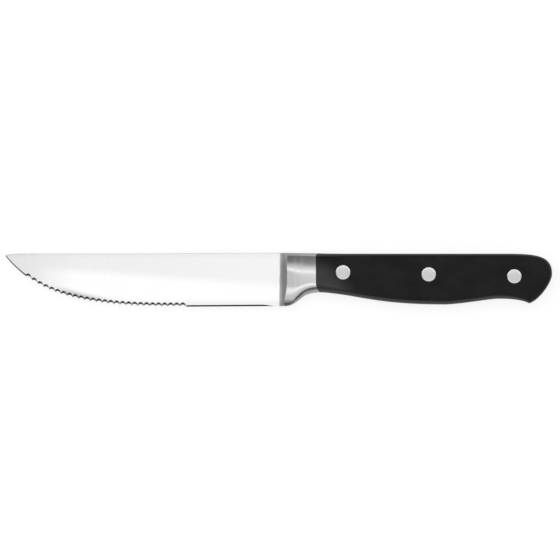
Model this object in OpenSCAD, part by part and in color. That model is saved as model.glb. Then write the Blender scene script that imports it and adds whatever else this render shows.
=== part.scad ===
// Forged steak knife with a scalloped edge and a three-rivet handle, in millimetres.
// It lies on the flat of its handle: tip towards -X, butt towards +X, spine towards +Y, and the table at z = 0.
// Lengths along the knife are measured from the tip, and heights from the spine line.

/* [Blade] */
// Length of the blade, from the tip to the foot of the bolster
blade_l = 125; // [110:1:140]
// Depth of the blade, from the spine line to the straight part of the edge
blade_h = 24.1; // [22:0.1:26]
// Depth of the blade at the bolster
heel_h = 23.8; // [22:0.1:25.4]
// Thickness of the steel along the spine
spine_t = 2; // [1.6:0.1:2.6]
// Thickness of the steel above the edge, before it is sharpened
edge_t = 0.5; // [0.4:0.05:0.7]
// Width of the broken corners of the spine
spine_break = 0.2; // [0.1:0.05:0.4]
// Height that the spine line gains from the middle of the blade to the bolster
spine_rise = 0.35; // [0:0.05:0.8]
// Drop of the spine line at the tip
tip_drop = 0.6; // [0.3:0.1:2]
// Length over which the spine drops to the tip
tip_drop_l = 7.6; // [5:0.1:15]
// Length over which the edge curves up to the tip
belly_l = 80; // [60:1:84]
// Height of the sharpened bevel, on the show side only
bevel_h = 0.7; // [0.4:0.1:1.2]
// Length before the bolster where the bevel has run out
bevel_end_l = 1.5; // [0.5:0.5:5]
// Length over which the bevel runs out
bevel_fade_l = 7; // [3:0.5:12]

/* [Serration] */
// Number of scallops
scallop_n = 27; // [18:1:28]
// Distance from the tip to the first scallop
scallop_start = 9.55; // [8:0.05:12]
// Width of the first scallop
scallop_w = 2.62; // [2.2:0.01:2.7]
// How much wider each scallop is than the one before it
scallop_growth = 0.005; // [0:0.001:0.01]
// Depth of a scallop in the cutting edge
scallop_depth = 0.9; // [0.5:0.05:1.1]
// Angle between the grinding wheel's path and the flat of the blade
scallop_tilt = 30; // [25:1:40]
// Height of the tooth points above the line of the plain edge
tooth_lift = 0.06; // [0.02:0.01:0.15]

/* [Bolster] */
// Length of the bolster, from its foot on the blade to the shoulder
bolster_l = 16.1; // [14:0.1:20]
// Thickness of the bolster where its ramp meets its side
bolster_t = 12.4; // [10:0.1:13.5]
// How far the bolster stands proud of the spine and of the heel, all round
bolster_proud = 0.05; // [0.02:0.01:0.2]
// Angle of the ramp between blade and bolster
ramp_angle = 60; // [50:1:70]
// Length of the level stretch under the bolster, before it sweeps up
bolster_toe_l = 1.9; // [1:0.1:4]
// How far the sides fall away to the underside, at the front
bolster_lean = 2.7; // [1:0.1:3.2]
// How far the sides fall away to the spine, at the front
bolster_crown = 1.6; // [0.6:0.1:2]
// Where the sides are fullest, at the front, as a share of the way from the spine to the underside
bolster_crest = 0.41; // [0.35:0.01:0.5]
// Steepness of the sides' upper borders, at the front, where the rounding begins
bolster_crease = 50; // [35:1:60]
// Steepness of the sides' lower borders, at the front
toe_crease = 33; // [25:1:50]
// Width of the rounding under the bolster, at the front
toe_round_w = 1.2; // [0.6:0.1:1.6]
// Radius of the shoulder's corner at the spine
shoulder_top_r = 1.6; // [0.8:0.1:2]
// Radius of the shoulder's corner at the underside
shoulder_low_r = 5; // [2:0.1:6]

/* [Handle] */
// Length of the handle, from the shoulder to the butt
handle_l = 107.3; // [98:0.1:118]
// Thickness of the handle
handle_t = 14; // [12:0.1:17]
// Thickness of the tang between the scales
tang_t = 2.4; // [2:0.1:3]
// Height of the handle at the shoulder
front_h = 17.6; // [16:0.1:19]
// Height of the handle at its belly
belly_h = 23.1; // [21:0.1:25]
// Distance from the shoulder to the belly
belly_at = 58.5; // [54:0.1:63]
// Height of the handle at its waist
waist_h = 20.5; // [19:0.1:21]
// Distance from the waist to the butt
waist_back = 24.9; // [22:0.1:27]
// Height of the handle at the beak, its lower rear corner
beak_h = 22.55; // [21.5:0.05:24]
// Distance from the beak to the butt
beak_back = 10.3; // [8:0.1:12]
// Height of the rearmost point, below the top of the handle
butt_h = 9.05; // [7:0.05:11]
// Width of the rounding along the underside
low_round_w = 2.3; // [1.5:0.1:3]
// Width of the rounding along the top and round the butt
top_round_w = 1.3; // [0.8:0.1:2]
// Steepness of the scales' borders, towards the butt, where the rounding begins
grip_crease = 20; // [10:1:35]
// How far the sides fall away to the underside, at the shoulder
shoulder_lean = 0.65; // [0.2:0.05:1]
// How far the sides fall away to the top, at the shoulder
shoulder_crown = 2; // [0.5:0.1:2.4]
// Where the sides are fullest, at the shoulder, as a share of the way from the top to the underside
shoulder_crest = 0.8; // [0.7:0.01:0.85]
// Length behind the shoulder over which the faces turn flat
blend_l = 24; // [15:1:30]

/* [Rivets] */
// Diameter of the rivet heads
head_d = 6.6; // [5.5:0.1:7.5]
// Thickness of the rivet heads
head_t = 1.8; // [1.4:0.1:2.4]
// Width of the rounded rim of the heads
head_rim_w = 0.7; // [0.3:0.1:1]
// Depth of the rounded rim of the heads
head_rim_d = 0.25; // [0.1:0.05:0.5]
// Diameter of the posts
post_d = 3.2; // [2.6:0.1:3.6]
// Outer diameter of the sleeves
sleeve_d = 4.8; // [4.2:0.1:5.2]
// Length of a post below its head
post_l = 8.6; // [7:0.1:9]
// Length of a sleeve below its head
sleeve_l = 8.8; // [7:0.1:9]
// Distance from the shoulder to the first rivet
rivet_start = 12.4; // [10:0.1:16]
// Distance from the last rivet to the butt
rivet_back = 17.2; // [15:0.1:22]
// Depth of the first rivet below the spine line
rivet_y = 8.5; // [7:0.1:10]
// Drop of each rivet against the one before it
rivet_step = 0.87; // [0:0.01:1.2]
// Clearance all round between a rivet and its hole
rivet_gap = 0.03; // [0.02:0.01:0.08]

/* [Hidden] */
steel = [0.82, 0.82, 0.81];
black = [0.10, 0.10, 0.10];
bright = [0.88, 0.88, 0.87];
shoulder_x = blade_l + bolster_l;
butt_x = shoulder_x + handle_l;
waist_x = butt_x - waist_back;
beak_x = butt_x - beak_back;
half_t = handle_t/2;
tang_z = tang_t/2;
// Where the model's own frame starts, so that its origin is under its middle
middle = [-butt_x/2, (blade_h - spine_rise - bolster_proud)/2, half_t];
// Larger than any part of the knife, for cuts that run right through
past = 40;

// Points of a cubic curve, in n steps
function curve(a, b, c, d, n) =
    [for (i = [0:n]) let (t = i/n, u = 1 - t) u*u*u*a + 3*u*u*t*b + 3*u*t*t*c + t*t*t*d];
// Points of an arc round c, in n steps
function arc(c, r, from, to, n) =
    [for (i = [0:n]) let (a = from + (to - from)*i/n) c + r*[cos(a), sin(a)]];
// A list without its first item
function tail(list) = [for (i = [1:len(list) - 1]) list[i]];
// From 0 to 1 between two places, starting and ending level
function ease(x, from, to) = let (t = min(1, max(0, (x - from)/(to - from)))) t*t*(3 - 2*t);
function mix(a, b, t) = a + (b - a)*t;

// Spine line of the blade and top line of bolster and handle
rise_from = 0.456*blade_l;
rise_to = 0.888*blade_l;
fall_to = shoulder_x + bolster_l;
function spine_y(x) = x < tip_drop_l
    ? -tip_drop*pow(1 - x/tip_drop_l, 2)
    : spine_rise*(ease(x, rise_from, rise_to) - ease(x, blade_l, fall_to));

// Cutting edge: two curves from the tip to the straight stretch, their handles as shares of length and depth
tip_flat = 0.25;
edge_handles = [[0.02, 0.136], [0.1, 0.417], [0.196, 0.594], [0.4225, 1.01], [0.8, 1], [1, 1]];
edge_knots = concat([[0, -tip_drop - tip_flat]], [for (k = edge_handles) [k[0]*belly_l, -k[1]*blade_h]]);
bevel_out_x = blade_l - bevel_end_l;
bevel_full_x = bevel_out_x - bevel_fade_l;
blade_end_x = blade_l + 4;
plain_x = scallop_start + scallop_n*scallop_w + scallop_growth*scallop_n*(scallop_n - 1)/2;
function plain_y(x) = mix(-blade_h, -heel_h, min(1, (x - belly_l)/(bevel_out_x - belly_l)));
edge_line = concat(
    curve(edge_knots[0], edge_knots[1], edge_knots[2], edge_knots[3], 14),
    tail(curve(edge_knots[3], edge_knots[4], edge_knots[5], edge_knots[6], 20)),
    [for (x = [bevel_full_x, bevel_out_x, blade_end_x]) [x, plain_y(x)]]);
function edge_y(x) = lookup(x, edge_line);
function bevel_at(x, height) = min(bevel_h, height/2)*(1 - ease(x, bevel_full_x, bevel_out_x));

// Closed solid through rings that all have the same number of points. It ends with a flat face, or with
// a seam where the last ring lies folded on itself: seam then gives each of its points the one to use.
module loft(rings, seam = []) {
    n = len(rings[0]);
    last = len(rings) - 1;
    points = [for (ring = rings) each ring];
    function at(j, i) = j*n + (j == last && len(seam) > 0 ? seam[i%n] : i%n);
    sides = [for (j = [0:last - 1], i = [0:n - 1])
        let (a = at(j, i), b = at(j, i + 1), c = at(j + 1, i + 1), d = at(j + 1, i))
        each c == d ? [[a, b, c]] : [[a, b, c], [a, c, d]]];
    front = [for (i = [1:n - 2]) [0, i + 1, i]];
    back = len(seam) > 0 ? [] : [for (i = [1:n - 2]) [last*n, last*n + i, last*n + i + 1]];
    polyhedron(points, concat(sides, front, back), convexity = 6);
}

// Section of the blade at a point of its edge: broken spine corners, flat grind and a one-sided bevel
function blade_section(x, low) = let (
    top = spine_y(x),
    height = top - low,
    edge_z = edge_t/2,
    spine_z = edge_z + (spine_t - edge_t)/2*pow(min(1, height/blade_h), 0.8),
    corner = min(spine_break, height/4),
    bevel = bevel_at(x, height),
    bevel_z = mix(edge_z, spine_z, bevel/height))
    [[x, top, corner - spine_z], [x, top - corner, -spine_z], [x, low, -edge_z],
     [x, low + bevel, bevel_z], [x, top - corner, spine_z], [x, top, spine_z - corner]];

module blade_blank() {
    loft([for (p = edge_line) blade_section(p[0], p[1])]);
}

// Place along the blade of the point between scallop i - 1 and scallop i
function tooth_x(i) = scallop_start + i*scallop_w + scallop_growth*i*(i - 1)/2;
function tooth(i) = [tooth_x(i), edge_y(tooth_x(i)) + tooth_lift];

// Each scallop is ground by a round wheel that slopes down to the back of the edge
scallop_fall = scallop_depth*sin(scallop_tilt);
scallop_half_w = (scallop_w + scallop_growth*scallop_n/2)/2;
scallop_r = (pow(scallop_half_w, 2) + pow(scallop_fall, 2))/(2*scallop_fall);
scallop_l = 4*scallop_r;

// Wheel of one scallop, whose cut in the back of the blade passes through two tooth points
module scallop(a, b) {
    squash = sin(scallop_tilt);
    chord = [b[0] - a[0], (b[1] - a[1])*squash];
    reach = sqrt(pow(scallop_r, 2) - pow(norm(chord)/2, 2));
    side = [chord[1], -chord[0]]/norm(chord)*reach;
    centre = (a + b)/2 + [side[0], side[1]/squash];
    translate([centre[0], centre[1], -edge_t/2])
        rotate([scallop_tilt - 90, 0, 0])
            translate([0, 0, -scallop_r/2])
                cylinder(r = scallop_r, h = scallop_l, $fn = 64);
}

module serration() {
    for (i = [0:scallop_n - 1])
        scallop(tooth(i), tooth(i + 1));
}

// Underside of bolster and handle, and the lower half of the butt, from front to rear
toe_x = blade_l + bolster_toe_l;
sweep_l = bolster_l - bolster_toe_l;
waist_l = waist_x - shoulder_x - belly_at;
beak_l = waist_back - beak_back;
belly_p = [shoulder_x + belly_at, -belly_h];
waist_p = [waist_x, -waist_h];
beak_p = [beak_x, -beak_h];
butt_p = [butt_x, -butt_h];
front_p = [shoulder_x, -front_h];
grip_front_x = blade_l - spine_t/2;
toe_y = -heel_h - bolster_proud;
under_line = concat(
    [[grip_front_x, toe_y]],
    curve([toe_x, toe_y], [toe_x + 0.45*sweep_l, toe_y], front_p + [-0.44*sweep_l, 0.3], front_p, 12),
    tail(curve(front_p, front_p + [0.314*belly_at, -0.4], belly_p - [0.5885*belly_at, 0], belly_p, 15)),
    tail(curve(belly_p, belly_p + [0.26*waist_l, 0], waist_p - [0.13*waist_l, 0], waist_p, 7)));
beak_line = tail(curve(waist_p, waist_p + [0.06*beak_l, 0], beak_p + beak_l*[-0.3, 0.162], beak_p, 6));
heel_line = tail(curve(beak_p, beak_p + beak_back*[0.43, 0.135],
    butt_p - [0, 0.31*(beak_h - butt_h)], butt_p, 12));
crest_line = tail(curve([waist_x, 0], [waist_x + 0.63*waist_back, 0], butt_p + [0, 1.03*butt_h], butt_p, 18));
low_line = concat(under_line, beak_line, heel_line);
function top_y(x) = spine_y(x) + bolster_proud*(1 - ease(x, blade_l, shoulder_x));
top_line = concat([for (p = under_line) [p[0], top_y(p[0])]], crest_line);
stations = len(low_line) - 1;

// Outline as one loop, for the directions that point into it
outline = concat(top_line, [for (j = [stations - 1:-1:0]) low_line[j]]);
function inward(i) = i == 0 ? [0, -1] : i == len(outline) - 1 ? [0, 1] :
    let (d = outline[i + 1] - outline[i - 1]) [d[1], -d[0]]/norm(d);
function top_inward(j) = inward(j);
function low_inward(j) = inward(2*stations - j);

// Half thickness of the faces at station x, and at share s of the way from the top to the underside.
// They are fullest at their crest and fall away from it both ways, until they turn flat behind the shoulder.
function along_bolster(x) = ease(x, blade_l, shoulder_x);
function fullness(front, rear, x) = mix(front, rear, along_bolster(x))*(1 - ease(x, shoulder_x, shoulder_x + blend_l));
function half_at(x) = mix(bolster_t/2, half_t, along_bolster(x));
function crest_at(x) = mix(bolster_crest, shoulder_crest, along_bolster(x));
function face_z(x, s) = let (crest = crest_at(x)) half_at(x)
    - fullness(bolster_lean, shoulder_lean, x)*pow(max(0, (s - crest)/(1 - crest)), 2)
    - fullness(bolster_crown, shoulder_crown, x)*pow(max(0, 1 - s/crest), 2);

// Rounded edges are arcs that start at a crease and end upright
round_steps = 5;
function low_w(x) = x < waist_x
    ? mix(toe_round_w, low_round_w, ease(x, toe_x, shoulder_x))
    : mix(low_round_w, top_round_w, ease(x, waist_x, beak_x));
// Point k of the arc between a ridge point and the outline, where the face ends at height z
function round_point(ridge, out, width, front_crease, z, k) = let (
    crease = mix(front_crease, grip_crease, ease(ridge[0], blade_l, shoulder_x + blend_l)),
    a = mix(crease, 90, k/round_steps),
    p = ridge + out*width*(sin(a) - sin(crease))/(1 - sin(crease)),
    depth = min(width*cos(crease)/(1 - sin(crease)), 0.9*z))
    [p[0], p[1], z - depth*(1 - cos(a)/cos(crease))];

// Rib j of the grip, on the show side, from the top line over the face to the underside
face_steps = 10;
function rib(j) = let (
    top = top_line[j], low = low_line[j],
    top_in = top_inward(j), low_in = low_inward(j),
    low_width = low_w(low[0]),
    ridge_top = top + top_in*top_round_w, ridge_low = low + low_in*low_width,
    z_top = face_z(top[0], 0), z_low = face_z(low[0], 1))
    concat(
        [for (k = [round_steps:-1:0]) round_point(ridge_top, -top_in, top_round_w, bolster_crease, z_top, k)],
        [for (i = [1:face_steps - 1]) let (s = i/face_steps, p = mix(ridge_top, ridge_low, s))
            [p[0], p[1], face_z(p[0], s)]],
        [for (k = [0:round_steps]) round_point(ridge_low, -low_in, low_width, toe_crease, z_low, k)]);

// Outer shape of bolster and handle together. Its last rib is the seam down the butt, where the rounded edges
// of top and underside meet and the face between them has no width.
rib_points = face_steps + 1 + 2*round_steps;
butt_half = [for (k = [0:rib_points - 1]) min(k, rib_points - 1 - k, round_steps)];
butt_seam = concat(butt_half, [for (k = [rib_points - 1:-1:0]) 2*rib_points - 1 - butt_half[k]]);
module grip_body() {
    loft([for (j = [0:stations]) let (show = rib(j))
        concat([for (p = show) [p[0], p[1], -p[2]]], [for (i = [len(show) - 1:-1:0]) show[i]])], butt_seam);
}

// Room above one ramp of the bolster. Towards the spine the ramp flattens as the sides do, which keeps its
// upper border straight.
ramp_rise = (bolster_t - spine_t)/2;
ramp_reach = past*cos(ramp_angle);
ramp_steps = 5;
function ramp_slope(s) = tan(ramp_angle)*(1 - bolster_crown*pow(max(0, 1 - s/bolster_crest), 2)/ramp_rise);
function ramp_ring(y, s) = let (z = spine_t/2, high = z + ramp_reach*ramp_slope(s))
    [[blade_l, y, z], [blade_l - past, y, z], [blade_l - past, y, high], [blade_l + ramp_reach, y, high]];
module ramp_room() {
    side_h = heel_h - top_round_w - toe_round_w;
    loft(concat(
        [ramp_ring(past, 0)],
        [for (i = [0:ramp_steps]) let (s = bolster_crest*i/ramp_steps) ramp_ring(-top_round_w - s*side_h, s)],
        [ramp_ring(-past, 1)]));
}

// Front of a scale as the shoulder shapes it, and everything behind that on one side of the tang
seat_top_c = [shoulder_x + shoulder_top_r, spine_y(shoulder_x) - 0.9*shoulder_top_r];
seat_low_c = [shoulder_x + shoulder_low_r, 0.81*shoulder_low_r - front_h];
module scale_room() {
    translate([0, 0, tang_z])
        linear_extrude(handle_t)
            polygon(concat(
                arc(seat_top_c, shoulder_top_r, 90, 180, 8),
                arc(seat_low_c, shoulder_low_r, 180, 270, 8),
                [[seat_low_c[0], -past], [butt_x + past, -past], [butt_x + past, past], [seat_top_c[0], past]]));
}

rivet_pitch = (handle_l - rivet_start - rivet_back)/2;
function rivet_place(i) = [shoulder_x + rivet_start + i*rivet_pitch, -rivet_y - i*rivet_step, 0];

// Holes for the three rivets: a counterbore for each head and a smaller hole for the sleeve
module rivet_holes() {
    for (i = [0:2])
        translate(rivet_place(i)) {
            cylinder(d = sleeve_d + 2*rivet_gap, h = 2*handle_t, center = true, $fn = 64);
            for (turn = [0, 180])
                rotate([turn, 0, 0])
                    translate([0, 0, half_t - head_t])
                        cylinder(d = head_d + 2*rivet_gap, h = handle_t, $fn = 96);
        }
}

// Blade, bolster and tang, forged and ground from one piece
module forged_blade() {
    color(steel)
        difference() {
            union() {
                blade_blank();
                difference() {
                    grip_body();
                    ramp_room();
                    mirror([0, 0, 1]) ramp_room();
                }
            }
            serration();
            scale_room();
            mirror([0, 0, 1]) scale_room();
            rivet_holes();
        }
}

// Handle scale on the show side
module scale() {
    color(black)
        difference() {
            intersection() {
                grip_body();
                scale_room();
            }
            rivet_holes();
        }
}

// Head profile of a rivet from its axis to the underside, with a rounded rim
head_r = head_d/2;
rim_steps = 6;
function head_profile() = concat(
    [[0, half_t]],
    [for (i = [0:rim_steps]) let (a = 90*i/rim_steps)
        [head_r - head_rim_w + head_rim_w*sin(a), half_t - head_rim_d + head_rim_d*cos(a)]],
    [[head_r, half_t - head_t]]);
under_head = half_t - head_t;

// Male half of a rivet, pressed in from the show side
module rivet_post(i) {
    color(bright)
        translate(rivet_place(i))
            rotate_extrude($fn = 96)
                polygon(concat(head_profile(),
                    [[post_d/2, under_head], [post_d/2, under_head - post_l], [0, under_head - post_l]]));
}

// Female half of a rivet, which the post is pressed into from the far side
bore_floor = 0.4;
module rivet_sleeve(i) {
    bore_r = post_d/2 + rivet_gap;
    color(bright)
        translate(rivet_place(i))
            mirror([0, 0, 1])
                rotate_extrude($fn = 96)
                    polygon(concat(head_profile(),
                        [[sleeve_d/2, under_head], [sleeve_d/2, under_head - sleeve_l],
                         [bore_r, under_head - sleeve_l], [bore_r, under_head - bore_floor],
                         [0, under_head - bore_floor]]));
}

translate(middle) forged_blade();
translate(middle) scale();  // scale_upper
translate(middle) mirror([0, 0, 1]) scale();  // scale_lower
translate(middle) rivet_post(0);  // rivet_front_post
translate(middle) rivet_post(1);  // rivet_middle_post
translate(middle) rivet_post(2);  // rivet_rear_post
translate(middle) rivet_sleeve(0);  // rivet_front_sleeve
translate(middle) rivet_sleeve(1);  // rivet_middle_sleeve
translate(middle) rivet_sleeve(2);  // rivet_rear_sleeve
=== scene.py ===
"""A forged steak knife on its side: blade with bolster, two handle scales and three rivets."""

import math

import bmesh
import bpy
import numpy as np
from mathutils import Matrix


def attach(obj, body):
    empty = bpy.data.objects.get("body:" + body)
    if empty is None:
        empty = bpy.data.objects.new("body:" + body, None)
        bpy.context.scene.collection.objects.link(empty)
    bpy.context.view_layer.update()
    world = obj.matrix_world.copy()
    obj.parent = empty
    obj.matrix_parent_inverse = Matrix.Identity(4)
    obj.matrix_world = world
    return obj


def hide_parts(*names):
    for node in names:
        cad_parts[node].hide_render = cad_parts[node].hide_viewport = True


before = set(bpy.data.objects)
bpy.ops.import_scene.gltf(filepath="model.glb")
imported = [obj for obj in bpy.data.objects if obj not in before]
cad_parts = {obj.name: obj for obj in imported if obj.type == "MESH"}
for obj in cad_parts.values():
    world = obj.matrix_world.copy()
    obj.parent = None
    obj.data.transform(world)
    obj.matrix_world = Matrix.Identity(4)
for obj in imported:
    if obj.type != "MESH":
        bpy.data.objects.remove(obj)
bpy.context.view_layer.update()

MM = 0.001

# Sizes in millimetres. Lengths run from the tip, heights from the spine line, depths from the
# mid-plane.
BLADE_L = 125.0
BLADE_H = 24.1
HEEL_H = 23.8
SPINE_T = 2.0
EDGE_T = 0.5
SPINE_BREAK = 0.2
SPINE_RISE = 0.35
TIP_DROP = 0.6
TIP_DROP_L = 7.6
TIP_FLAT = 0.25
BELLY_L = 80.0
BEVEL_H = 0.7
BEVEL_END_L = 1.5
BEVEL_FADE_L = 7.0

SCALLOPS = 27
SCALLOP_START = 9.55
SCALLOP_W = 2.62
SCALLOP_GROWTH = 0.005
SCALLOP_DEPTH = 0.9
SCALLOP_TILT = 30.0
TOOTH_LIFT = 0.06

BOLSTER_L = 16.1
BOLSTER_T = 12.4
PROUD = 0.05
RAMP_ANGLE = 60.0
RAMP_TOP_R = 0.25
RAMP_FOOT_R = 0.45
TOE_L = 1.9
BOLSTER_LEAN = 2.7
BOLSTER_CROWN = 1.6
BOLSTER_CREST = 0.41
BOLSTER_CREASE = 50.0
TOE_CREASE = 33.0
TOE_ROUND_W = 1.2
SHOULDER_TOP_R = 1.6
SHOULDER_LOW_R = 5.0

HANDLE_L = 107.3
HANDLE_T = 14.0
TANG_T = 2.4
FRONT_H = 17.6
BELLY_H = 23.1
BELLY_AT = 58.5
WAIST_H = 20.5
WAIST_BACK = 24.9
BEAK_H = 22.55
BEAK_BACK = 10.3
BUTT_H = 9.05
LOW_ROUND_W = 2.3
TOP_ROUND_W = 1.3
GRIP_CREASE = 20.0
SHOULDER_LEAN = 0.65
SHOULDER_CROWN = 2.0
SHOULDER_CREST = 0.8
BLEND_L = 24.0

HEAD_D = 6.6
HEAD_T = 1.8
HEAD_RIM_W = 0.7
HEAD_RIM_D = 0.25
POST_D = 3.2
SLEEVE_D = 4.8
POST_L = 8.6
SLEEVE_L = 8.8
BORE_FLOOR = 0.4
RIVET_START = 12.4
RIVET_BACK = 17.2
RIVET_Y = 8.5
RIVET_STEP = 0.87
RIVET_GAP = 0.03

SHOULDER_X = BLADE_L + BOLSTER_L
BUTT_X = SHOULDER_X + HANDLE_L
WAIST_X = BUTT_X - WAIST_BACK
BEAK_X = BUTT_X - BEAK_BACK
HALF_T = HANDLE_T / 2
SCALLOP_END = SCALLOP_START + SCALLOPS * (SCALLOP_W + SCALLOP_GROWTH * (SCALLOPS - 1) / 2)
RIVET_PITCH = (HANDLE_L - RIVET_START - RIVET_BACK) / 2
PLACE = np.array([-BUTT_X / 2, (BLADE_H - SPINE_RISE - PROUD) / 2, HALF_T])


def mix(a, b, t):
    return a + (b - a) * t


def ease(x, a, b):
    """From 0 to 1 between two places, starting and ending level."""
    t = np.clip((x - a) / (b - a), 0, 1)
    return t * t * (3 - 2 * t)


def cubic(a, b, c, d, steps):
    """Points of a cubic curve, the first one included."""
    t = np.linspace(0, 1, steps + 1)[:, None]
    a, b, c, d = (np.array(p, float) for p in (a, b, c, d))
    return (1 - t) ** 3 * a + 3 * (1 - t) ** 2 * t * b + 3 * (1 - t) * t * t * c + t**3 * d


def soft_min(a, b, r):
    """The lower of two heights, with their crossing rounded over about r."""
    h = np.clip(0.5 + (b - a) / (2 * r), 0, 1)
    return mix(b, a, h) - r * h * (1 - h)


def soft_max(a, b, r):
    return -soft_min(-a, -b, r)


# The outline of the knife

BEVEL_OUT_X = BLADE_L - BEVEL_END_L
BEVEL_FULL_X = BEVEL_OUT_X - BEVEL_FADE_L
RISE_FROM = 0.456 * BLADE_L
RISE_TO = 0.888 * BLADE_L
RAMP_LEAD = 1.6
RAMP_X = BLADE_L - RAMP_LEAD
TOE_X = BLADE_L + TOE_L
TOE_Y = -HEEL_H - PROUD

# How many steps each stretch of the outline is drawn in
TIP_STEPS = 28
BELLY_STEPS = 40
STRAIGHT_STEPS = 46
RAMP_STEPS = 28
SWEEP_STEPS = 110
PALM_STEPS = 40
NARROW_STEPS = 20
HOOK_STEPS = 14
HEEL_STEPS = 26
RAMP_MARGIN = 0.12


def spine_y(x):
    drop = -TIP_DROP * np.clip(1 - x / TIP_DROP_L, 0, 1) ** 2
    rise = ease(x, RISE_FROM, RISE_TO) - ease(x, BLADE_L, SHOULDER_X + BOLSTER_L)
    return drop + SPINE_RISE * rise


def top_y(x):
    """The spine line, which steps up to the bolster and comes down again along it."""
    step = ease(x, BLADE_L - 1, BLADE_L) * (1 - ease(x, BLADE_L, SHOULDER_X))
    return spine_y(x) + PROUD * step


def straight_edge_y(x):
    along = np.minimum(1, (x - BELLY_L) / (BEVEL_OUT_X - BELLY_L))
    return mix(mix(-BLADE_H, -HEEL_H, along), TOE_Y, ease(x, BLADE_L - 1, BLADE_L))


def belly_knot(along, deep):
    return (along * BELLY_L, -deep * BLADE_H)


def edge_line():
    """The cutting edge before its scallops, from the tip to the foot of the bolster's sweep."""
    point, joint = (0, -TIP_DROP - TIP_FLAT), belly_knot(0.196, 0.594)
    tip = cubic(point, belly_knot(0.02, 0.136), belly_knot(0.1, 0.417), joint, TIP_STEPS)
    full = (BELLY_L, -BLADE_H)
    belly = cubic(joint, belly_knot(0.4225, 1.01), belly_knot(0.8, 1), full, BELLY_STEPS)
    straight = np.concatenate([
        np.linspace(BELLY_L + 1, RAMP_X, STRAIGHT_STEPS),
        np.linspace(RAMP_X + RAMP_MARGIN, TOE_X - RAMP_MARGIN, RAMP_STEPS)])
    return np.concatenate([tip, belly[1:], np.stack([straight, straight_edge_y(straight)], 1)])


def under_line():
    """The underside of the bolster, that of the handle, and the lower half of the butt."""
    sweep = BOLSTER_L - TOE_L
    waist_l = WAIST_X - SHOULDER_X - BELLY_AT
    beak_l = WAIST_BACK - BEAK_BACK
    butt_drop = BEAK_H - BUTT_H
    toe = np.array([TOE_X, TOE_Y])
    front = np.array([SHOULDER_X, -FRONT_H])
    belly = np.array([SHOULDER_X + BELLY_AT, -BELLY_H])
    waist = np.array([WAIST_X, -WAIST_H])
    beak = np.array([BEAK_X, -BEAK_H])
    butt = np.array([BUTT_X, -BUTT_H])
    bolster = cubic(toe, toe + (0.45 * sweep, 0), front + (-0.44 * sweep, 0.3), front, SWEEP_STEPS)
    palm = cubic(front, front + (0.314 * BELLY_AT, -0.4),
                 belly - (0.5885 * BELLY_AT, 0), belly, PALM_STEPS)
    narrow = cubic(belly, belly + (0.26 * waist_l, 0),
                   waist - (0.13 * waist_l, 0), waist, NARROW_STEPS)
    hook = cubic(waist, waist + (0.06 * beak_l, 0),
                 beak + (-0.3 * beak_l, 0.162 * beak_l), beak, HOOK_STEPS)
    heel = cubic(beak, beak + (0.43 * BEAK_BACK, 0.135 * BEAK_BACK),
                 butt - (0, 0.31 * butt_drop), butt, HEEL_STEPS)
    handle = np.concatenate([palm[1:], narrow[1:]])
    return bolster, handle, np.concatenate([hook[1:], heel[1:]])


EDGE = edge_line()
BOLSTER_LOW, HANDLE_LOW, BUTT_LOW = under_line()
LOW = np.concatenate([EDGE, BOLSTER_LOW, HANDLE_LOW, BUTT_LOW])
FORE_X = LOW[: -len(BUTT_LOW), 0]
BUTT_TOP = cubic((WAIST_X, 0), (WAIST_X + 0.63 * WAIST_BACK, 0),
                 (BUTT_X, 0.03 * BUTT_H), (BUTT_X, -BUTT_H), len(BUTT_LOW))
TOP = np.concatenate([np.stack([FORE_X, top_y(FORE_X)], 1), BUTT_TOP[1:]])
STATION_X = LOW[:, 0]
SHOULDER_AT = len(EDGE) + len(BOLSTER_LOW) - 1


def inward_directions():
    """For every station, the directions into the outline at its top and at its underside."""
    loop = np.concatenate([TOP, LOW[-2::-1]])
    along = np.gradient(loop, axis=0)
    turned = np.stack([along[:, 1], -along[:, 0]], 1)
    turned /= np.linalg.norm(turned, axis=1)[:, None]
    turned[0], turned[-1] = (0, -1), (0, 1)
    seam = len(TOP) - 1
    turned[seam] = (-1, 0)
    return turned[: seam + 1], turned[: seam - 1 : -1]


TOP_IN, LOW_IN = inward_directions()

# A section is a face between two rounded edges, each an arc from a crease to upright
ROUND_STEPS = 10
FACE_STEPS = 26
ROUND_TURN = np.linspace(0, 1, ROUND_STEPS + 1)[None, :]
LEAST_ROUND_W = 0.02


def crease_along(front):
    """Steepness of the sides' borders, where the rounding begins, from what it is at the front."""
    backwards = ease(STATION_X, BLADE_L, SHOULDER_X + BLEND_L)
    return np.radians(mix(front, GRIP_CREASE, backwards))


def round_share(crease):
    """How far out each point of an arc lies, as a share of the rounding's width."""
    low = np.sin(crease)[:, None]
    return (np.sin(mix(crease[:, None], math.pi / 2, ROUND_TURN)) - low) / (1 - low)


def round_drop(crease, width, face):
    """How far each point of an arc lies below the face's border, which is at height face."""
    turn = mix(crease[:, None], math.pi / 2, ROUND_TURN)
    depth = np.minimum(width * np.cos(crease) / (1 - np.sin(crease)), 0.9 * face)
    return depth[:, None] * (1 - np.cos(turn) / np.cos(crease)[:, None])


def low_round_w(x):
    fore = mix(TOE_ROUND_W, LOW_ROUND_W, ease(x, TOE_X, SHOULDER_X))
    aft = mix(LOW_ROUND_W, TOP_ROUND_W, ease(x, WAIST_X, BEAK_X))
    return np.where(x < WAIST_X, fore, aft)


def bevel_at(x, height):
    """Height of the bevel where the blade is so deep."""
    return np.minimum(BEVEL_H, height / 2) * (1 - ease(x, BEVEL_FULL_X, BEVEL_OUT_X))


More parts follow.
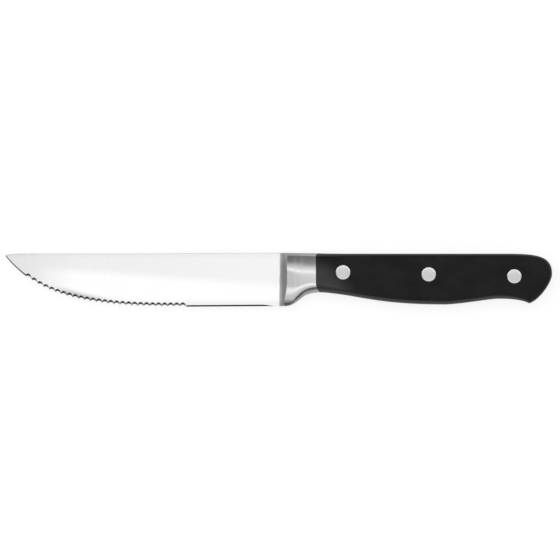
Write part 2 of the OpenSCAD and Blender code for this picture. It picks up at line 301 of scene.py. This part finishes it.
def round_widths():
    """Widths of the roundings at top and underside, which on the blade are its broken corners
    and its bevel."""
    room = TOP[:, 1] - LOW[:, 1]
    grip = ease(STATION_X, BLADE_L - 0.2, BLADE_L + 1)
    bevel = np.maximum(bevel_at(STATION_X, room) * LOW_IN[:, 1], LEAST_ROUND_W)
    top_w = np.minimum(mix(SPINE_BREAK, TOP_ROUND_W, grip), room / 4 + 10 * grip)
    return top_w, mix(bevel, low_round_w(STATION_X), grip)


TOP_W, LOW_W = round_widths()
TOP_CREASE, LOW_CREASE = crease_along(BOLSTER_CREASE), crease_along(TOE_CREASE)
FACE_SHARE = np.linspace(0, 1, FACE_STEPS + 1)[1:-1]


def section_grid():
    """Place in plan of every point of every section, and its share of the way down the face."""
    ridge_top = (TOP + TOP_IN * TOP_W[:, None])[:, None]
    ridge_low = (LOW + LOW_IN * LOW_W[:, None])[:, None]
    top = ridge_top - TOP_IN[:, None] * TOP_W[:, None, None] * round_share(TOP_CREASE)[:, :, None]
    low = ridge_low - LOW_IN[:, None] * LOW_W[:, None, None] * round_share(LOW_CREASE)[:, :, None]
    face = mix(ridge_top, ridge_low, FACE_SHARE[None, :, None])
    arc = np.zeros(ROUND_STEPS + 1)
    share = np.concatenate([arc, FACE_SHARE, arc + 1])
    plan = np.concatenate([top[:, ::-1], face, low], 1)
    return plan, np.broadcast_to(share, plan.shape[:2])


PLAN, SHARE = section_grid()


def face_height(x, s):
    """Height of the sides of bolster and handle over the mid-plane. They fall away both ways
    from their crest."""
    along = ease(x, BLADE_L, SHOULDER_X)
    fade = 1 - ease(x, SHOULDER_X, SHOULDER_X + BLEND_L)
    crest = mix(BOLSTER_CREST, SHOULDER_CREST, along)
    past, before = np.maximum((s - crest) / (1 - crest), 0), np.maximum(1 - s / crest, 0)
    lean = mix(BOLSTER_LEAN, SHOULDER_LEAN, along) * fade * past**2
    crown = mix(BOLSTER_CROWN, SHOULDER_CROWN, along) * fade * before**2
    return mix(BOLSTER_T / 2, HALF_T, along) - lean - crown


def grip_height():
    """Height of bolster and handle over the mid-plane, at every point of the grid."""
    height = face_height(STATION_X[:, None], SHARE)
    top_drop = round_drop(TOP_CREASE, TOP_W, face_height(STATION_X, 0))
    low_drop = round_drop(LOW_CREASE, LOW_W, face_height(STATION_X, 1))
    level = np.zeros((len(STATION_X), len(FACE_SHARE)))
    return height - np.concatenate([top_drop[:, ::-1], level, low_drop], 1)


def ramp_height():
    """Height of the bolster's ramp, which flattens towards the spine as the sides do."""
    crown = BOLSTER_CROWN * np.maximum(1 - SHARE / BOLSTER_CREST, 0) ** 2
    rise = (PLAN[:, :, 0] - BLADE_L) * math.tan(math.radians(RAMP_ANGLE))
    return SPINE_T / 2 + rise * (1 - crown / ((BOLSTER_T - SPINE_T) / 2))


def blade_height(side):
    """Height of the blade's face over the mid-plane, on the show side (1) or the far side (-1)."""
    x, y = PLAN[:, :, 0], PLAN[:, :, 1]
    top, low = top_y(x), np.interp(x, EDGE[:, 0], EDGE[:, 1])
    height = np.maximum(top - low, 0.01)
    edge_z = EDGE_T / 2
    spine_z = edge_z + (SPINE_T - EDGE_T) / 2 * np.minimum(1, height / BLADE_H) ** 0.8
    above = np.clip(y - low, 0, height)
    broken = np.clip(1 - (top - y) / SPINE_BREAK, 0, 1)
    face = mix(edge_z, spine_z, above / height) - SPINE_BREAK * broken**2
    if side < 0:
        return face
    bevel = bevel_at(x, height)
    bevel_z = mix(edge_z, spine_z, bevel / height)
    ground = mix(-edge_z, bevel_z, above / np.maximum(bevel, 1e-6))
    return np.where((bevel > 0.01) & (above < bevel), np.minimum(face, ground), face)


def shoulder_x(y):
    """Where the handle scales begin, at a height."""
    top_c = (SHOULDER_X + SHOULDER_TOP_R, float(spine_y(SHOULDER_X)) - 0.9 * SHOULDER_TOP_R)
    low_c = (SHOULDER_X + SHOULDER_LOW_R, 0.81 * SHOULDER_LOW_R - FRONT_H)
    over = top_c[0] - np.sqrt(np.maximum(SHOULDER_TOP_R**2 - (y - top_c[1]) ** 2, 0))
    under = low_c[0] - np.sqrt(np.maximum(SHOULDER_LOW_R**2 - (y - low_c[1]) ** 2, 0))
    return np.where(y > top_c[1], over, np.where(y < low_c[1], under, SHOULDER_X))


def to_shoulder(reach):
    """The plan with its sections near the shoulder bent to the line where steel and scales meet."""
    near = reach[:, None] * (shoulder_x(PLAN[:, :, 1]) - SHOULDER_X)
    return np.stack([PLAN[:, :, 0] + near, PLAN[:, :, 1]], 2)


# Meshes

SHARP = math.radians(14)
WELD_DIST = 1e-7


def stand(name, data):
    """An object in the scene, with its data."""
    thing = bpy.data.objects.new(name, data)
    bpy.context.scene.collection.objects.link(thing)
    return thing


def mesh_object(name, points, faces):
    mesh = bpy.data.meshes.new(name)
    mesh.from_pydata(points, [], faces)
    return stand(name, mesh)


def weld(mesh):
    """Merges what coincides, turns the faces outwards and shades smooth between sharp edges."""
    work = bmesh.new()
    work.from_mesh(mesh)
    bmesh.ops.remove_doubles(work, verts=work.verts, dist=WELD_DIST)
    bmesh.ops.dissolve_degenerate(work, edges=work.edges, dist=WELD_DIST)
    bmesh.ops.recalc_face_normals(work, faces=work.faces)
    for face in work.faces:
        face.smooth = True
    for edge in work.edges:
        edge.smooth = len(edge.link_faces) == 2 and edge.calc_face_angle(0) < SHARP
    work.to_mesh(mesh)
    work.free()


def skin(name, near, far, plan):
    """Closed mesh between two height fields over the same plan, which meet in its last section."""
    a = np.concatenate([plan, near[:, :, None]], 2)
    b = np.concatenate([plan, far[:, :, None]], 2)[:, ::-1]
    rings = (np.concatenate([a, b], 1) + PLACE) * MM
    count, size = len(rings), rings.shape[1]
    faces = []
    for j in range(count - 1):
        here, there = j * size, (j + 1) * size
        for i in range(size):
            following = (i + 1) % size
            faces.append((here + i, here + following, there + following, there + i))
    faces += [(i, size - 1 - i, size - 2 - i, i + 1) for i in range(size // 2 - 1)]
    piece = mesh_object(name, rings.reshape(-1, 3).tolist(), faces)
    weld(piece.data)
    return piece


# Over these lengths before and behind the shoulder the sections bend to its line
STEEL_BEND_L = 5.0
SCALE_BEND_L = 8.0


def forging():
    """Blade and bolster, with the tang that fills the handle between its scales."""
    bolster = soft_min(grip_height(), ramp_height(), RAMP_TOP_R)
    on_blade = (STATION_X < RAMP_X)[:, None]
    show, back = (np.where(on_blade, blade, soft_max(bolster, blade, RAMP_FOOT_R))
                  for blade in (blade_height(1), blade_height(-1)))
    tang = np.full_like(show, TANG_T / 2)
    before = ease(STATION_X, SHOULDER_X - STEEL_BEND_L, SHOULDER_X)
    behind = ease(STATION_X, SHOULDER_X, SHOULDER_X + SCALE_BEND_L)
    plan = to_shoulder(before * (1 - behind))
    step = SHOULDER_AT + 1
    order = np.r_[0:step, SHOULDER_AT, step : len(plan)]
    high = np.concatenate([show[:step], tang[SHOULDER_AT:]])
    deep = -np.concatenate([back[:step], tang[SHOULDER_AT:]])
    return skin("forged_blade_and_bolster", high, deep, plan[order])


def scale(name, side):
    """A handle scale, on the show side (1) or the far side (-1) of the tang."""
    plan = to_shoulder(1 - ease(STATION_X, SHOULDER_X, SHOULDER_X + SCALE_BEND_L))
    outer = grip_height()[SHOULDER_AT:]
    inner = np.full_like(outer, TANG_T / 2)
    return skin(name, side * outer, side * inner, plan[SHOULDER_AT:])


# Node trees


class Wire:
    """A value in a node tree. Sums on it add Math nodes."""

    def __init__(self, sheet, socket):
        self.sheet = sheet
        self.socket = socket

    def out(self, name):
        return Wire(self.sheet, self.socket.node.outputs[name])

    def __add__(self, other):
        return self.sheet.sum("ADD", self, other)

    def __radd__(self, other):
        return self.sheet.sum("ADD", other, self)

    def __sub__(self, other):
        return self.sheet.sum("SUBTRACT", self, other)

    def __rsub__(self, other):
        return self.sheet.sum("SUBTRACT", other, self)

    def __mul__(self, other):
        return self.sheet.sum("MULTIPLY", self, other)

    def __rmul__(self, other):
        return self.sheet.sum("MULTIPLY", other, self)

    def __truediv__(self, other):
        return self.sheet.sum("DIVIDE", self, other)

    def __rtruediv__(self, other):
        return self.sheet.sum("DIVIDE", other, self)

    def __neg__(self):
        return self.sheet.sum("MULTIPLY", self, -1)

    def step(self, low, high):
        """From 0 to 1 between two values, starting and ending level."""
        keys = {"Value": self, "From Min": low, "From Max": high}
        return self.sheet.add("ShaderNodeMapRange", keys, interpolation_type="SMOOTHSTEP")


class Sheet:
    """A node tree that is being drawn."""

    def __init__(self, tree):
        self.tree = tree

    def add(self, kind, inputs=None, out=0, **settings):
        """A node of a kind, with its settings, and a value or wires for each of its inputs."""
        node = self.tree.nodes.new(kind)
        for name, value in settings.items():
            setattr(node, name, value)
        for key, value in (inputs or {}).items():
            for item in value if isinstance(value, list) else [value]:
                if isinstance(item, Wire):
                    self.tree.links.new(item.socket, node.inputs[key])
                else:
                    node.inputs[key].default_value = item
        return Wire(self, node.outputs[out]) if node.outputs else None

    def sum(self, operation, a, b):
        return self.add("ShaderNodeMath", {0: a, 1: b}, operation=operation)

    def blend(self, a, b, share):
        """Colour between a and b."""
        return self.add("ShaderNodeMix", {0: share, 6: a, 7: b}, out=2, data_type="RGBA")


def grey(value):
    return (value, value, value, 1.0)


# Finishes. Tones are shares of a white mirror.

# Painted shade: the blade darkens from EDGE_TONE along its edge to TIP_TONE near the spine at the
# tip
TIP_TONE = 0.67
EDGE_TONE = 0.94
BOLSTER_TONE = 0.48
RIVET_TONE = 0.56
BLADE_ROUGHNESS = 0.28
RIVET_ROUGHNESS = 0.30
BLADE_BRUSHING = (5200, 90, 90)
RIVET_BRUSHING = (300, 4200, 300)
BLADE_RELIEF = 0.12
RIVET_RELIEF = 0.096
PLASTIC_RELIEF = 0.10
RELIEF_H = 0.00002


def finish_sheet(name):
    material = bpy.data.materials.new(name)
    material.use_nodes = True
    material.node_tree.nodes.clear()
    return material, Sheet(material.node_tree)


def shade(sheet, surface):
    sheet.add("ShaderNodeOutputMaterial", {"Surface": surface})


def place_on(sheet):
    """Where a point of the piece lies."""
    place = sheet.add("ShaderNodeTexCoord", out="Object")
    return sheet.add("ShaderNodeSeparateXYZ", {"Vector": place})


def facing(sheet):
    """Which way the surface looks: Y is up over the spine, and Z out of the knife's side."""
    normal = sheet.add("ShaderNodeNewGeometry", out="Normal")
    return sheet.add("ShaderNodeSeparateXYZ", {"Vector": normal})


def at(x):
    """The X that place_on gives at a length from the tip."""
    return (x + PLACE[0]) * MM


def stretched_noise(sheet, scale, size=1.0, detail=3.0):
    """Noise over the piece, drawn out along the axes whose scale is small."""
    place = sheet.add("ShaderNodeTexCoord", out="Object")
    drawn = sheet.add("ShaderNodeMapping", {"Vector": place, "Scale": scale})
    keys = {"Vector": drawn, "Scale": size, "Detail": detail, "Roughness": 0.6}
    return sheet.add("ShaderNodeTexNoise", keys, noise_dimensions="3D")


def brush_marks(sheet, scale):
    """Fine and broad marks of a grinding belt, drawn out along the axes whose scale is small."""
    fine = stretched_noise(sheet, scale)
    broad = stretched_noise(sheet, tuple(s * 0.22 for s in scale), detail=2.0)
    return 0.6 * fine + 0.4 * broad


def steel_roughness(sheet, lines, roughness):
    cloud = stretched_noise(sheet, (60, 60, 60), detail=2.0)
    return lines * 0.22 + (cloud - 0.5) * 0.03 + roughness


def bare_steel(sheet, tone, roughness, lines, marks, relief):
    """Steel whose brushed lines show in its brightness, and whose marks show in its relief."""
    shine = tone * (1 + lines * 0.10)
    colour = sheet.add("ShaderNodeCombineColor", {"Red": shine, "Green": shine, "Blue": shine})
    bump = sheet.add("ShaderNodeBump", {"Strength": relief, "Distance": RELIEF_H, "Height": marks})
    shade(sheet, sheet.add("ShaderNodeBsdfPrincipled", {
        "Base Color": colour, "Metallic": 1.0, "Roughness": roughness, "Normal": bump}))


def painted_scallop_shade(along, below):
    """Painted shade, from 0 to 1 towards the scallops of the belly, whose line is taken as a cubic.
    """
    left = 1 - along / 0.64
    straight = along.step(0.60, 0.68)
    edge = (1 - left * left * left * 0.78) * (1 - straight) + straight
    belly = along.step(0.15, 0.26) * (1 - along.step(0.26, 0.42) * 0.75)
    return (below - edge).step(-0.17, -0.05) * belly


def painted_blade_shade(place):
    """Painted shade on the blade: full brightness along the edge, darker towards the spine and
    darkest at the tip. Lengths and depths are shares of the blade's."""
    along = (place.out("X") - PLACE[0] * MM) / (BLADE_L * MM)
    below = (PLACE[1] * MM - place.out("Y")) / (BLADE_H * MM)
    upper = (along.step(-0.1, 0.36) * 0.11 + along.step(0.5, 0.95) * 0.03
             + below.step(0, 0.12) * 0.04 + TIP_TONE)
    low = (below - along * 0.38).step(0.11, 0.34) * along.step(0.06, 0.30)
    # Painted shade darkens the blade just above the belly's scallops
    return (upper + low * (EDGE_TONE - upper)) * (1 - painted_scallop_shade(along, below) * 0.45)


def blade_steel():
    """Satin steel, brushed across the blade, with painted shade on it. The bolster is painted
    darker, as shade, and brushed more deeply.
    """
    material, sheet = finish_sheet("satin_blade_steel")
    marks = brush_marks(sheet, BLADE_BRUSHING)
    place, normal = place_on(sheet), facing(sheet)
    x, uphill, flat = place.out("X"), normal.out("Y"), normal.out("Z") * normal.out("Z")
    bolster = x.step(at(BLADE_L - 0.2), at(BLADE_L + 1.4))
    behind = x.step(at(BLADE_L), at(SHOULDER_X))
    steep = 1 - flat.step(0.80, 0.95)

    # The blade's tone carries painted shade, darker towards spine and tip
    tone = painted_blade_shade(place)
    # Painted shade: the bolster is darker than the blade's steel, most of all at its front
    tone = tone + bolster * (BOLSTER_TONE * (1 + behind * 0.22) - tone)
    # Painted shade darkens the plain edge's downward-facing bevel, before and behind the scallops
    before_scallops = 1 - x.step(at(SCALLOP_START - 0.6), at(SCALLOP_START))
    behind_scallops = x.step(at(SCALLOP_END), at(SCALLOP_END + 0.6)) - bolster
    painted_edge_shade = before_scallops * 0.85 + behind_scallops * 0.97
    tone = tone * (1 - steep * uphill.step(-0.1, -0.3) * painted_edge_shade)
    # Painted shade also darkens the toe corner and the downward-facing crease along the bolster's
    # underside
    deep = (PLACE[1] * MM - place.out("Y")) / (HEEL_H * MM)
    toe = deep.step(0.85, 0.93) * behind.step(0.02, 0.06) * (1 - behind.step(0.12, 0.45))
    crease = bolster * uphill.step(-0.35, -0.55) * flat.step(0.42, 0.55)
    tone = tone * (1 - toe * 0.6) * (1 - crease * 0.7)

    lines = (marks - 0.5) * (0.35 + bolster * 1.65)
    roughness = steel_roughness(sheet, lines, BLADE_ROUGHNESS) - bolster * (0.16 - behind * 0.06)
    roughness = roughness - steep * (0.20 - bolster * 0.20 - behind * 0.15)
    bare_steel(sheet, tone, roughness, lines, marks, BLADE_RELIEF)
    return material


def rivet_steel():
    """Steel ground flush along the handle, rougher on the heads' upper rims, where a painted
    highlight brightens it.
    """
    material, sheet = finish_sheet("ground_rivet_steel")
    marks = brush_marks(sheet, RIVET_BRUSHING)
    painted_rim_glint = facing(sheet).out("Y").step(0.0, 0.08)
    lines = (marks - 0.5) * 0.8
    roughness = steel_roughness(sheet, lines, RIVET_ROUGHNESS) + painted_rim_glint * 0.2
    # Painted highlight: the heads' upper rims are made brighter
    tone = painted_rim_glint * 0.44 + RIVET_TONE
    bare_steel(sheet, tone, roughness, lines, marks, RIVET_RELIEF)
    return material


def black_acetal():
    """Satin plastic, buffed to a shine on its rounded edges and near the bolster."""
    material, sheet = finish_sheet("black_acetal")
    grain = stretched_noise(sheet, (5200, 5200, 5200), detail=4.0)
    drift = stretched_noise(sheet, (90, 160, 160), detail=2.0)
    scuff = stretched_noise(sheet, (260, 2400, 2400), detail=3.0)
    mottle = (drift * 0.6 + grain * 0.4).step(0.3, 0.7)
    colour = sheet.blend(grey(0.004), grey(0.008), mottle)
    roughness = (grain - 0.5) * 0.16 + (scuff - 0.5) * 0.12 + 0.40
    bump = sheet.add("ShaderNodeBump", {
        "Strength": PLASTIC_RELIEF, "Distance": RELIEF_H, "Height": grain})
    # The buffed front is wider near the underside than near the spine
    place, flat = place_on(sheet), facing(sheet).out("Z")
    behind = place.out("X") - at(SHOULDER_X) + (place.out("Y") - PLACE[1] * MM) * 0.9
    front = (1 - (behind + 0.008).step(0.002, 0.014)) * 0.7
    rounded = 1 - (flat * flat).step(0.55, 0.88)
    shade(sheet, sheet.add("ShaderNodeBsdfPrincipled", {
        "Base Color": colour, "Roughness": roughness, "Specular IOR Level": 0.09, "Normal": bump,
        "Coat Weight": front + rounded * (1 - front), "Coat Roughness": 0.34, "Coat IOR": 1.5}))
    return material


BLADE_STEEL = blade_steel()
HANDLE_BLACK = black_acetal()
RIVET_STEEL = rivet_steel()


# Geometry Nodes

FLOAT, OBJECT, MATERIAL = "NodeSocketFloat", "NodeSocketObject", "NodeSocketMaterial"
HOLE_SIDES = 64
ROUND_SIDES = 96
RIM_STEPS = 6


def geometry_sheet(name, inputs):
    """A tree with named inputs, and the wires that its group input gives."""
    tree = bpy.data.node_groups.new(name, "GeometryNodeTree")
    inputs = {"Geometry": "NodeSocketGeometry"} | inputs
    for label, kind in inputs.items():
        tree.interface.new_socket(label, in_out="INPUT", socket_type=kind)
    tree.interface.new_socket("Geometry", in_out="OUTPUT", socket_type="NodeSocketGeometry")
    sheet = Sheet(tree)
    source = sheet.add("NodeGroupInput")
    return sheet, {label: source.out(label) for label in inputs}


def apply_tree(piece, sheet, result, finish, values):
    """Gives the result its finish, runs the tree on a piece and leaves a plain mesh."""
    finished = sheet.add("GeometryNodeSetMaterial", {"Geometry": result, "Material": finish})
    sheet.add("NodeGroupOutput", {"Geometry": finished})
    modifier = piece.modifiers.new(sheet.tree.name, "NODES")
    modifier.node_group = sheet.tree
    for item in sheet.tree.interface.items_tree:
        if item.in_out == "INPUT" and item.name in values:
            modifier[item.identifier] = values[item.name]
    evaluated = piece.evaluated_get(bpy.context.evaluated_depsgraph_get())
    done = bpy.data.meshes.new_from_object(evaluated)
    piece.modifiers.clear()
    done.name = piece.name
    piece.data = done
    weld(done)


def places(name, points):
    """A helper mesh whose points say where a tree puts things."""
    return mesh_object(name, ((np.array(points, float) + PLACE) * MM).tolist(), [])


def cylinder(sheet, radius, depth, sides):
    keys = {"Vertices": sides, "Radius": radius, "Depth": depth}
    return sheet.add("GeometryNodeMeshCylinder", keys)


def lifted(sheet, thing, z):
    offset = sheet.add("ShaderNodeCombineXYZ", {"Z": z})
    return sheet.add("GeometryNodeTransform", {"Geometry": thing, "Translation": offset})


def boolean(sheet, operation, keys):
    return sheet.add("GeometryNodeMeshBoolean", keys, operation=operation, solver="EXACT")


def copies(sheet, points, thing, turn=(0.0, 0.0, 0.0)):
    """Real copies of a thing at points, each turned about its own point."""
    keys = {"Points": points, "Instance": thing, "Rotation": turn}
    spread = sheet.add("GeometryNodeInstanceOnPoints", keys)
    return sheet.add("GeometryNodeRealizeInstances", {"Geometry": spread})


def points_of(sheet, helper):
    return sheet.add("GeometryNodeObjectInfo", {"Object": helper}, out="Geometry")


def tooth(i):
    x = SCALLOP_START + i * SCALLOP_W + SCALLOP_GROWTH * i * (i - 1) / 2
    return np.array([x, np.interp(x, EDGE[:, 0], EDGE[:, 1]) + TOOTH_LIFT])


def wheel_places():
    """Where the round wheel stands on the far face for each scallop, and the wheel's radius."""
    slope = math.sin(math.radians(SCALLOP_TILT))
    fall = SCALLOP_DEPTH * slope
    half = (SCALLOP_W + SCALLOP_GROWTH * SCALLOPS / 2) / 2
    radius = (half**2 + fall**2) / (2 * fall)
    centres = []
    for i in range(SCALLOPS):
        a, b = tooth(i), tooth(i + 1)
        chord = np.array([b[0] - a[0], (b[1] - a[1]) * slope])
        reach = math.sqrt(radius**2 - np.dot(chord, chord) / 4)
        side = np.array([chord[1], -chord[0]]) / np.linalg.norm(chord) * reach
        middle = (a + b) / 2 + (side[0], side[1] / slope)
        centres.append((middle[0], middle[1], -EDGE_T / 2))
    return centres, radius


def grind_scallops(piece):
    """Every scallop is ground by a round wheel that slopes down to the far side of the edge."""
    centres, radius = wheel_places()
    helper = places("wheel_places", centres)
    sheet, given = geometry_sheet("scallop_grinder", {
        "Wheel places": OBJECT, "Wheel radius": FLOAT, "Wheel tilt": FLOAT, "Steel": MATERIAL})
    size = given["Wheel radius"]
    wheel = lifted(sheet, cylinder(sheet, size, size * 4, ROUND_SIDES), size * 1.5)
    turn = sheet.add("ShaderNodeCombineXYZ", {"X": given["Wheel tilt"] - math.pi / 2})
    wheels = copies(sheet, points_of(sheet, given["Wheel places"]), wheel, turn)
    ground = boolean(sheet, "DIFFERENCE", {
        "Mesh 1": given["Geometry"], "Mesh 2": wheels, "Self Intersection": True})
    apply_tree(piece, sheet, ground, given["Steel"], {
        "Wheel places": helper, "Wheel radius": radius * MM,
        "Wheel tilt": math.radians(SCALLOP_TILT), "Steel": BLADE_STEEL})
    bpy.data.objects.remove(helper)


def rivet_places():
    first = SHOULDER_X + RIVET_START
    return [(first + i * RIVET_PITCH, -RIVET_Y - i * RIVET_STEP, 0) for i in range(3)]


def drill(piece, finish):
    """Holes for the rivets, with a counterbore for each head."""
    helper = places("rivet_places", rivet_places())
    sheet, given = geometry_sheet("rivet_drill", {
        "Rivet places": OBJECT, "Sleeve radius": FLOAT, "Head radius": FLOAT,
        "Head seat": FLOAT, "Length": FLOAT, "Finish": MATERIAL})
    length = given["Length"]
    hole = cylinder(sheet, given["Sleeve radius"], length, HOLE_SIDES)
    seat = cylinder(sheet, given["Head radius"], length, ROUND_SIDES)
    lift = length / 2 + given["Head seat"]
    parts = [hole, lifted(sheet, seat, lift), lifted(sheet, seat, -lift)]
    tool = boolean(sheet, "UNION", {"Mesh 2": parts})
    tools = copies(sheet, points_of(sheet, given["Rivet places"]), tool)
    drilled = boolean(sheet, "DIFFERENCE", {"Mesh 1": given["Geometry"], "Mesh 2": tools})
    apply_tree(piece, sheet, drilled, given["Finish"], {
        "Rivet places": helper, "Sleeve radius": (SLEEVE_D / 2 + RIVET_GAP) * MM,
        "Head radius": (HEAD_D / 2 + RIVET_GAP) * MM, "Head seat": (HALF_T - HEAD_T) * MM,
        "Length": 2 * HANDLE_T * MM, "Finish": finish})
    bpy.data.objects.remove(helper)


def draw_out(sheet, body, top, steps):
    """Extrudes the top face along z from step to step, and sizes it to each step's radius."""
    for (r0, z0), (r1, z1) in zip(steps, steps[1:]):
        rise = sheet.add("ShaderNodeCombineXYZ", {"Z": z1 - z0})
        drawn = sheet.add("GeometryNodeExtrudeMesh", {
            "Mesh": body, "Selection": top, "Offset": rise, "Offset Scale": 1.0})
        top = drawn.out("Top")
        body = sheet.add("GeometryNodeScaleElements", {
            "Geometry": drawn, "Selection": top, "Scale": r1 / r0})
    return body


def rivets(name, stem_d, stem_l, bore_d, bore_l, turn):
    """Three rivet halves, each drawn up from its stem's end to the middle of its head."""
    helper = places(name, rivet_places())
    sizes = {
        "Head radius": HEAD_D / 2, "Head thickness": HEAD_T, "Rim width": HEAD_RIM_W,
        "Rim depth": HEAD_RIM_D, "Stem radius": stem_d / 2, "Stem length": stem_l,
        "Bore radius": bore_d / 2, "Bore depth": bore_l, "Top": HALF_T}
    sheet, given = geometry_sheet(name + "_tree", dict.fromkeys(sizes, FLOAT) | {"Steel": MATERIAL})
    radius, stem, length = given["Head radius"], given["Stem radius"], given["Stem length"]
    top, rim_w, rim_d = given["Top"], given["Rim width"], given["Rim depth"]
    under = top - given["Head thickness"]
    steps = [(stem, under), (radius, under), (radius, top - rim_d)]
    for i in range(1, RIM_STEPS + 1):
        angle = math.pi / 2 * i / RIM_STEPS
        inwards, down = 1 - math.cos(angle), 1 - math.sin(angle)
        steps.append((radius - rim_w * inwards, top - rim_d * down))
    start = cylinder(sheet, stem, length, ROUND_SIDES)
    body = draw_out(sheet, lifted(sheet, start, under - length / 2), start.out("Top"), steps)
    if bore_d:
        bore = cylinder(sheet, given["Bore radius"], given["Bore depth"] * 2, ROUND_SIDES)
        bore = lifted(sheet, bore, under - length)
        body = boolean(sheet, "DIFFERENCE", {"Mesh 1": body, "Mesh 2": bore})
    points = sheet.add("GeometryNodeMeshToPoints", {"Mesh": given["Geometry"]})
    values = {label: size * MM for label, size in sizes.items()} | {"Steel": RIVET_STEEL}
    apply_tree(helper, sheet, copies(sheet, points, body, (turn, 0.0, 0.0)), given["Steel"], values)
    return helper


# The knife

blade = forging()
scales = [scale("handle_scale_show_side", 1), scale("handle_scale_far_side", -1)]
grind_scallops(blade)
drill(blade, BLADE_STEEL)
for piece in scales:
    drill(piece, HANDLE_BLACK)
posts = rivets("rivet_posts", POST_D, POST_L, 0, 0, 0.0)
sleeves = rivets("rivet_sleeves", SLEEVE_D, SLEEVE_L,
                 POST_D + 2 * RIVET_GAP, SLEEVE_L - BORE_FLOOR, math.pi)

ENDS = ("front", "middle", "rear")
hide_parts("forged_blade")
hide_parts("scale_upper")
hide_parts("scale_lower")
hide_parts(*[f"rivet_{end}_post" for end in ENDS])
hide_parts(*[f"rivet_{end}_sleeve" for end in ENDS])
SLOTS = (
    (blade, "blade_steel"),
    (scales[0], "handle_plastic"),
    (scales[1], "handle_plastic"),
    (posts, "rivet_steel"),
    (sleeves, "rivet_steel"),
)
for piece, slot in SLOTS:
    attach(piece, "root")


# Floor, light and camera

FLOOR_REACH = 6.0
FLOOR_GREY = 0.85
FLOOR_WHITE = 0.8
FLOOR_MIRRORED = 0.6
MATT_LIGHT = 0.62


def ray_kinds(sheet):
    """Whether the camera sees a point, and whether something that mirrors it does."""
    rays = sheet.add("ShaderNodeLightPath")
    return rays.out("Is Camera Ray") + rays.out("Is Transmission Ray"), rays.out("Is Glossy Ray")


def pale_floor():
    """White to the camera apart from the shadow, and pale grey to what mirrors it."""
    r = FLOOR_REACH
    corners = [(-r, -r, 0), (r, -r, 0), (r, r, 0), (-r, r, 0)]
    floor = mesh_object("floor", corners, [(0, 1, 2, 3)])
    material, sheet = finish_sheet("pale_floor")
    seen, mirrored = ray_kinds(sheet)
    matt = sheet.add("ShaderNodeBsdfDiffuse", {"Color": grey(FLOOR_GREY)})
    glow = {"Color": grey(1.0), "Strength": seen + mirrored * FLOOR_MIRRORED}
    white = sheet.add("ShaderNodeEmission", glow)
    share = seen * FLOOR_WHITE + mirrored
    shade(sheet, sheet.add("ShaderNodeMixShader", {0: share, 1: matt, 2: white}))
    floor.data.materials.append(material)


def mirrored_studio(sheet):
    """What polished surfaces see: a bright ceiling, dimmer past the spine's side, with a strip
    lamp on either side of the knife, over dark walls with a pale stretch at the horizon."""
    heading = sheet.add("ShaderNodeTexCoord", out="Generated")
    parts = sheet.add("ShaderNodeSeparateXYZ", {"Vector": heading})
    along, across, up = parts.out("X"), parts.out("Y"), parts.out("Z")
    sideways = along * along
    dimmer = across.step(0.34, 0.47) * 0.8 + across.step(0.45, 0.80) * 0.2
    ceiling = across.step(-0.86, -0.67) * (1 - dimmer) * (1 - sideways.step(0.2, 0.8))
    edge_lamp = across.step(-0.60, -0.40) * (1 - across.step(-0.36, -0.26))
    spine_lamp = across.step(0.21, 0.26) * (1 - across.step(0.26, 0.31))
    lamps = edge_lamp * 0.68 + spine_lamp * 1.1
    corners = sideways.step(0.2, 0.6) * across.step(-0.85, -0.55)
    wall = 0.03 + across.step(-0.2, 0.4) * 0.08 + corners * 0.24
    edge_side = (1 - across.step(-0.85, -0.5)) * (1 - sideways.step(0.1, 0.35))
    elsewhere = across.step(-0.4, -0.1) * 0.4 + across.step(0.1, 0.5) * 0.4
    horizon = (edge_side + elsewhere) * up.step(0.46, 0.26)
    return wall + horizon + ceiling * up.step(0.40, 0.62) * (1 + lamps)


def studio_world():
    """Even light on matt surfaces, white to the camera, and a studio to what mirrors it."""
    world = bpy.data.worlds.new("studio")
    bpy.context.scene.world = world
    world.use_nodes = True
    world.node_tree.nodes.clear()
    sheet = Sheet(world.node_tree)
    seen, mirrored = ray_kinds(sheet)
    matt = 1 - seen - mirrored
    strength = seen + mirrored * mirrored_studio(sheet) + matt * MATT_LIGHT
    light = sheet.add("ShaderNodeBackground", {"Color": grey(1.0), "Strength": strength})
    sheet.add("ShaderNodeOutputWorld", {"Surface": light})


def softbox():
    light = bpy.data.lights.new("softbox", "AREA")
    light.shape = "RECTANGLE"
    light.size = 1.2
    light.size_y = 0.9
    light.energy = 12.0
    lamp = stand("softbox", light)
    lamp.location = (-0.1, 0.15, 1.1)
    lamp.visible_glossy = False


def overhead_camera():
    data = bpy.data.cameras.new("overhead")
    data.lens = 600
    data.sensor_width = 36
    camera = stand("overhead", data)
    camera.location = (0.00066, -0.0001, 4.249)
    bpy.context.scene.camera = camera


pale_floor()
studio_world()
softbox()
overhead_camera()
bpy.context.scene.view_settings.view_transform = "Standard"
